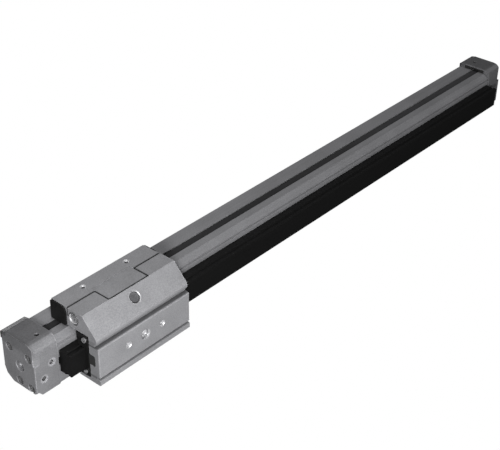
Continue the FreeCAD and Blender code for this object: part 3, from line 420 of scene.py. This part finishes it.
def new_piece(name, points, faces, slot, body, smooth=True, finish=None):
    """A computed surface that rides on a body and takes a slot's material, or a finish of its own."""
    mesh = bpy.data.meshes.new(name)
    mesh.from_pydata(points.tolist(), [], faces)
    mesh.validate()
    mesh.polygons.foreach_set("use_smooth", [smooth] * len(mesh.polygons))
    piece = bpy.data.objects.new(name, mesh)
    bpy.context.scene.collection.objects.link(piece)
    mesh.materials.append(finish or materials[slot])
    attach(piece, body)
    return piece


def merged_piece(name, points, faces, slot, body, finish=None):
    """A computed piece whose poles, where a whole row of points meets, are joined into one."""
    piece = new_piece(name, points, faces, slot, body, False, finish)
    shape = bmesh.new()
    shape.from_mesh(piece.data)
    bmesh.ops.remove_doubles(shape, verts=shape.verts, dist=1e-6)
    shape.to_mesh(piece.data)
    shape.free()
    return piece


def grid_faces(rows, columns, around=False, loop=False):
    """Quads of a grid laid out row by row; they face the way of (row step) x (column step).

    Around joins the last column to the first, and loop joins the last row to the first.
    """
    i, j = np.meshgrid(np.arange(rows if loop else rows - 1), np.arange(columns if around else columns - 1),
                       indexing="ij")
    below, beside = (i + 1) % rows, (j + 1) % columns
    corners = (i * columns + j, below * columns + j, below * columns + beside, i * columns + beside)
    return np.stack([c.ravel() for c in corners], 1).tolist()


def set_in_hole(points, mouth, axis):
    """Points about the Z axis turned to a hole's axis and moved to its mouth, from millimetres to metres."""
    turn = np.array(Vector(axis).to_track_quat("Z", "Y").to_matrix())
    return (points @ turn.T + np.array(mouth)) * MM


def band_section(width, thickness, crown, steps=9):
    """A strip's section: flat below, z = thickness - crown (2 y / width)^2 above, its edges dropped."""
    half = width / 2
    edge_drop = thickness * 0.35
    y = np.linspace(-half, half, steps)
    z = thickness - crown * (2 * y / width) ** 2
    z[[0, -1]] -= edge_drop
    return np.concatenate([np.stack([y, z], 1), [[half, 0.0], [-half, 0.0]]])


def make_band(name, node, slot, low_z, half_length, width, thickness, crown):
    """A straight strip along the slot, in millimetres, in place of a bent CAD strip.

    The section is carried along x from -half_length to half_length: (x, slot's y + y, low_z + z).
    """
    stations = 60
    section = band_section(width, thickness, crown)
    columns = len(section)
    x, y = np.meshgrid(np.linspace(-half_length, half_length, stations), section[:, 0], indexing="ij")
    z = np.broadcast_to(section[:, 1], x.shape)
    points = np.stack([x, SLOT_Y + y, low_z + z], -1).reshape(-1, 3) * MM
    faces = grid_faces(stations, columns, True)
    faces.append(tuple(range(columns)))
    faces.append(tuple(range(len(points) - columns, len(points)))[::-1])
    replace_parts(new_piece(name, points, faces, slot, "barrel", False), node)


def make_bands():
    """The cover strip on top of the slot and the sealing strip inside the bore."""
    make_band("cover_strip", "outer_band", "cover_band", low_z=39.62, half_length=309.0, width=7.6,
              thickness=0.55, crown=0.12)
    make_band("sealing_strip", "inner_band", "sealing_band", low_z=30.95, half_length=304.6, width=7.3,
              thickness=0.6, crown=0.05)


def make_lining(name, mouth, axis, core, pitch, length, slot, body, flare=0.0, height=0.3, widening=1.0,
                finish=None):
    """A thread, turning marks or a rim lining a hole, as a closed ring, in millimetres.

    Inside, r = core - skin - height pitch (1 - |2 phase - 1|), where phase is the fraction of
    t / pitch - angle / turn, and t runs from just below the mouth to length; the ridge fades out at both
    ends. Outside, r = core + bed. At the mouth both grow by widening (flare - t), the countersink.
    """
    below_mouth, skin, bed = 0.03, 0.03, 0.05
    around, rows_per_pitch, more_rows = 40, 6, 8
    rows = int(length / pitch * rows_per_pitch) + more_rows
    t, angle = np.meshgrid(np.linspace(below_mouth, length, rows),
                           np.linspace(0.0, 2 * math.pi, around, endpoint=False), indexing="ij")
    phase = (t / pitch - angle / (2 * math.pi)) % 1.0
    fade = np.clip(np.minimum(t - flare, length - t) / pitch, 0.0, 1.0)
    cone = widening * np.clip(flare - t, 0.0, None)
    inside = core - skin + cone - height * pitch * fade * (1 - np.abs(2 * phase - 1))
    outside = core + bed + cone[::-1]
    r = np.concatenate([inside, outside])
    t = np.concatenate([t, t[::-1]])
    angle = np.concatenate([angle, angle])
    ring = np.stack([r * np.cos(angle), r * np.sin(angle), t], -1).reshape(-1, 3)
    faces = grid_faces(len(t), around, True, True)
    new_piece(name, set_in_hole(ring, mouth, axis), faces, slot, body, True, finish)


def make_port_threads():
    """Threads in the three ports of each cap, each beginning a little below the cap's face."""
    end_mouth_sink, side_mouth_sink = 2.0, 0.5
    side_mouth_y = corners_mm("end_cap_near")[0][1] + side_mouth_sink
    for end, side in (("near", -1), ("far", 1)):
        _, y, z = mount_mm("end_port_" + end)
        make_lining("thread_end_port_" + end, ((CAP_END_X - end_mouth_sink) * side, y, z), (-side, 0, 0),
                    **M5_THREAD, length=6.6, slot="cast_cap", body="barrel")
        for port in ("side_port_", "low_port_"):
            x, _, z = mount_mm(port + end)
            make_lining("thread_" + port + end, (x, side_mouth_y, z), (0, 1, 0), **M5_THREAD, length=7.2,
                        slot="turned_aluminium", body="barrel", finish=cut_thread)


def make_carriage_linings():
    """Threads, the centring bore and the bright rims in the carriage and the driver."""
    of_carriage = dict(slot="turned_aluminium", body="carriage")
    load_reach = mounts["carriage_load_holes"]["dims"]["spacing_x_mm"] / 2
    for label, x in (("a", CENTRE_X - load_reach), ("b", CENTRE_X + load_reach)):
        make_lining("thread_load_" + label, (x, CARRIAGE_SIDE_Y, LOAD_HOLE_Z), (0, 1, 0), **M5_THREAD,
                    length=7.0, flare=0.8, **of_carriage)
    top_reach = mounts["driver_top_holes"]["dims"]["spacing_x_mm"] / 2
    for label, x in (("a", CENTRE_X - top_reach), ("b", CENTRE_X + top_reach)):
        make_lining("thread_top_" + label, (x, SLOT_Y, CARRIAGE_TOP_Z), (0, 0, -1), **M4_THREAD, length=6.6,
                    flare=0.6, widening=1.5, **of_carriage)
    bore_sink, thread_sink = 0.3, 2.4
    make_lining("centring_bore", (CENTRE_X, CARRIAGE_SIDE_Y + bore_sink, LOAD_HOLE_Z), (0, 1, 0),
                core=4.5, pitch=0.5, length=2.0, **of_carriage)
    make_lining("centring_thread", (CENTRE_X, CARRIAGE_SIDE_Y + thread_sink, LOAD_HOLE_Z), (0, 1, 0),
                core=3.3, pitch=1.0, length=4.6, **of_carriage)
    stop_low, stop_high = corners_mm("stop_screws")
    stop_y, stop_z = ((low + high) / 2 for low, high in zip(stop_low[1:], stop_high[1:]))
    for end, x, way in (("near", CARRIAGE_NEAR_X, 1), ("far", CARRIAGE_FAR_X, -1)):
        make_lining("stop_rim_" + end, (x, stop_y, stop_z), (way, 0, 0), core=3.6, pitch=0.5, length=0.92,
                    flare=0.8, height=0.0, **of_carriage)


def make_slope_hole():
    """The hole in the slope: a bright countersunk rim, a dull bore below it and a dished plug.

    The plug's face lies t = face_t + dish (1 - (r / dish_r)^4) below the slope, inside a flat rim at face_t,
    and its back at back_t.
    """
    bore = dict(core=4.7, pitch=0.4)
    rim_depth = 0.6
    make_lining("grease_rim", SLOPE_HOLE, SLOPE_IN, **bore, length=rim_depth, slot="turned_aluminium",
                body="carriage", flare=0.55, height=0.0)
    below_rim = tuple(place + rim_depth * way for place, way in zip(SLOPE_HOLE, SLOPE_IN))
    make_lining("grease_bore", below_rim, SLOPE_IN, **bore, length=1.7, slot="screw_steel", body="carriage",
                height=0.1, finish=dull_zinc)
    face_t, back_t, dish, dish_r = 2.3, 3.0, 0.5, 4.5
    r = np.array([0.0, 1.2, 2.2, 3.0, 3.6, 4.0, 4.3, dish_r, 4.65, 4.65, 0.0])
    t = face_t + dish * np.clip(1 - (r / dish_r) ** 4, 0.0, None)
    t[-2:] = back_t
    angle = np.linspace(2 * math.pi, 0.0, 40, endpoint=False)
    disc = np.stack([np.outer(r, np.cos(angle)), np.outer(r, np.sin(angle)),
                     np.repeat(t[:, None], len(angle), 1)], -1)
    plug = merged_piece("dished_plug", set_in_hole(disc.reshape(-1, 3), SLOPE_HOLE, SLOPE_IN),
                        grid_faces(len(r), len(angle), True), "screw_steel", "carriage", dull_zinc)
    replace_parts(plug, "grease_plug")


def make_end_fillers():
    """Fillers of the carriage's end pockets, each with a thin cover on the end face.

    The outlines |y / half_y|^power + |z / half_z|^power = 1, at each depth below the end face, make a dished
    cover with a broken edge, and behind it the straight walls that fill the pocket.
    """
    power = 8
    low, high = corners_mm("end_inserts")
    pocket_y, pocket_z = ((a + b) / 2 for a, b in zip(low[1:], high[1:]))
    wall_y, wall_z = ((b - a) / 2 for a, b in zip(low[1:], high[1:]))
    cover_y, cover_z = pocket_y + 0.9, pocket_z - 0.6
    depth = np.array([-0.12, -0.14, -0.2, -0.25, -0.15, -0.02, -0.02, 5.9, 5.9])
    half_y = np.array([0.0, 1.7, 3.1, 3.3, 3.4, 3.4, wall_y, wall_y, 0.0])
    half_z = np.array([0.0, 2.2, 4.4, 4.6, 4.7, 4.7, wall_z, wall_z, 0.0])
    middle_y = np.array([cover_y] * 6 + [pocket_y] * 3)
    middle_z = np.array([cover_z] * 6 + [pocket_z] * 3)
    angle = np.linspace(0.0, 2 * math.pi, 48, endpoint=False)
    across = np.sign(np.cos(angle)) * np.abs(np.cos(angle)) ** (2 / power)
    upward = np.sign(np.sin(angle)) * np.abs(np.sin(angle)) ** (2 / power)
    for end, face_x, side in (("near", CARRIAGE_NEAR_X, -1), ("far", CARRIAGE_FAR_X, 1)):
        x = np.repeat((face_x - side * depth)[:, None], len(angle), 1)
        y = middle_y[:, None] + np.outer(half_y, across)
        z = middle_z[:, None] + side * np.outer(half_z, upward)
        points = np.stack([x, y, z], -1).reshape(-1, 3) * MM
        faces = grid_faces(len(depth), len(angle), True)
        filler = merged_piece("end_filler_" + end, points, faces, "black_plastic", "carriage", worn_plastic)
        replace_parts(filler, "end_inserts")


def make_floor():
    """A plain white plane under the caps' feet, which only the camera sees."""
    size = 6.0
    mesh = bpy.data.meshes.new("floor")
    corners = [(-size, -size, 0.0), (size, -size, 0.0), (size, size, 0.0), (-size, size, 0.0)]
    mesh.from_pydata(corners, [], [(0, 1, 2, 3)])
    floor = bpy.data.objects.new("floor", mesh)
    bpy.context.scene.collection.objects.link(floor)
    s = Shader("floor_paint")
    s.surface.inputs["Emission Color"].default_value = (1.0, 1.0, 1.0, 1.0)
    s.surface.inputs["Emission Strength"].default_value = 1.0
    floor.data.materials.append(s.set(color=(0.0, 0.0, 0.0), rough=1.0, specular=0.0))
    floor.visible_diffuse = False
    floor.visible_glossy = False
    floor.visible_shadow = False


def make_area_light(name, place, target, size, power):
    """A rectangular soft light at a place in metres that looks at a target, with its power in watts."""
    light = bpy.data.objects.new(name, bpy.data.lights.new(name, "AREA"))
    light.data.shape = "RECTANGLE"
    light.data.size, light.data.size_y = size
    light.data.energy = power
    way = Vector(target) - Vector(place)
    light.matrix_world = Matrix.Translation(place) @ way.to_track_quat("-Z", "Y").to_matrix().to_4x4()
    bpy.context.scene.collection.objects.link(light)


def make_world():
    """White to the camera; to the cylinder a dim room that is lighter overhead."""
    white = (1.0, 1.0, 1.0, 1.0)
    world = bpy.data.worlds.new("studio")
    world.use_nodes = True
    tree = world.node_tree
    room = tree.nodes["Background"]
    place = tree.nodes.new("ShaderNodeTexCoord")
    parts = tree.nodes.new("ShaderNodeSeparateXYZ")
    height = tree.nodes.new("ShaderNodeMapRange")
    height.inputs["From Min"].default_value = -0.1
    height.inputs["To Min"].default_value = 0.03
    height.inputs["To Max"].default_value = 0.16
    tree.links.new(place.outputs["Generated"], parts.inputs["Vector"])
    tree.links.new(parts.outputs["Z"], height.inputs["Value"])
    tree.links.new(height.outputs["Result"], room.inputs["Strength"])
    room.inputs["Color"].default_value = white
    paper = tree.nodes.new("ShaderNodeBackground")
    paper.inputs["Color"].default_value = white
    rays = tree.nodes.new("ShaderNodeLightPath")
    choice = tree.nodes.new("ShaderNodeMixShader")
    tree.links.new(rays.outputs["Is Camera Ray"], choice.inputs["Fac"])
    tree.links.new(room.outputs["Background"], choice.inputs[1])
    tree.links.new(paper.outputs["Background"], choice.inputs[2])
    tree.links.new(choice.outputs["Shader"], tree.nodes["World Output"].inputs["Surface"])
    bpy.context.scene.world = world


def make_light():
    """A small key by the near cap, a broad light overhead, and low ones in front and behind."""
    make_world()
    make_area_light("key", (-0.64, -0.56, 0.27), (-0.26, -0.02, 0.03), size=(0.14, 0.14), power=7.2)
    make_area_light("top", (-0.1, 0.2, 1.2), (-0.12, 0.0, 0.0), size=(0.9, 0.4), power=3.9)
    make_area_light("fill", (0.55, -1.3, 0.05), (0.33, 0.0, 0.02), size=(0.5, 0.25), power=2.5)
    make_area_light("back", (0.0, 1.3, 0.06), (0.0, 0.0, 0.03), size=(1.1, 0.4), power=8.0)
    bpy.context.scene.view_settings.view_transform = "Standard"
    bpy.context.scene.view_settings.look = "None"


make_camera()
dress_cad_nodes()
make_bands()
make_port_threads()
make_carriage_linings()
make_slope_hole()
make_end_fillers()
make_floor()
make_light()
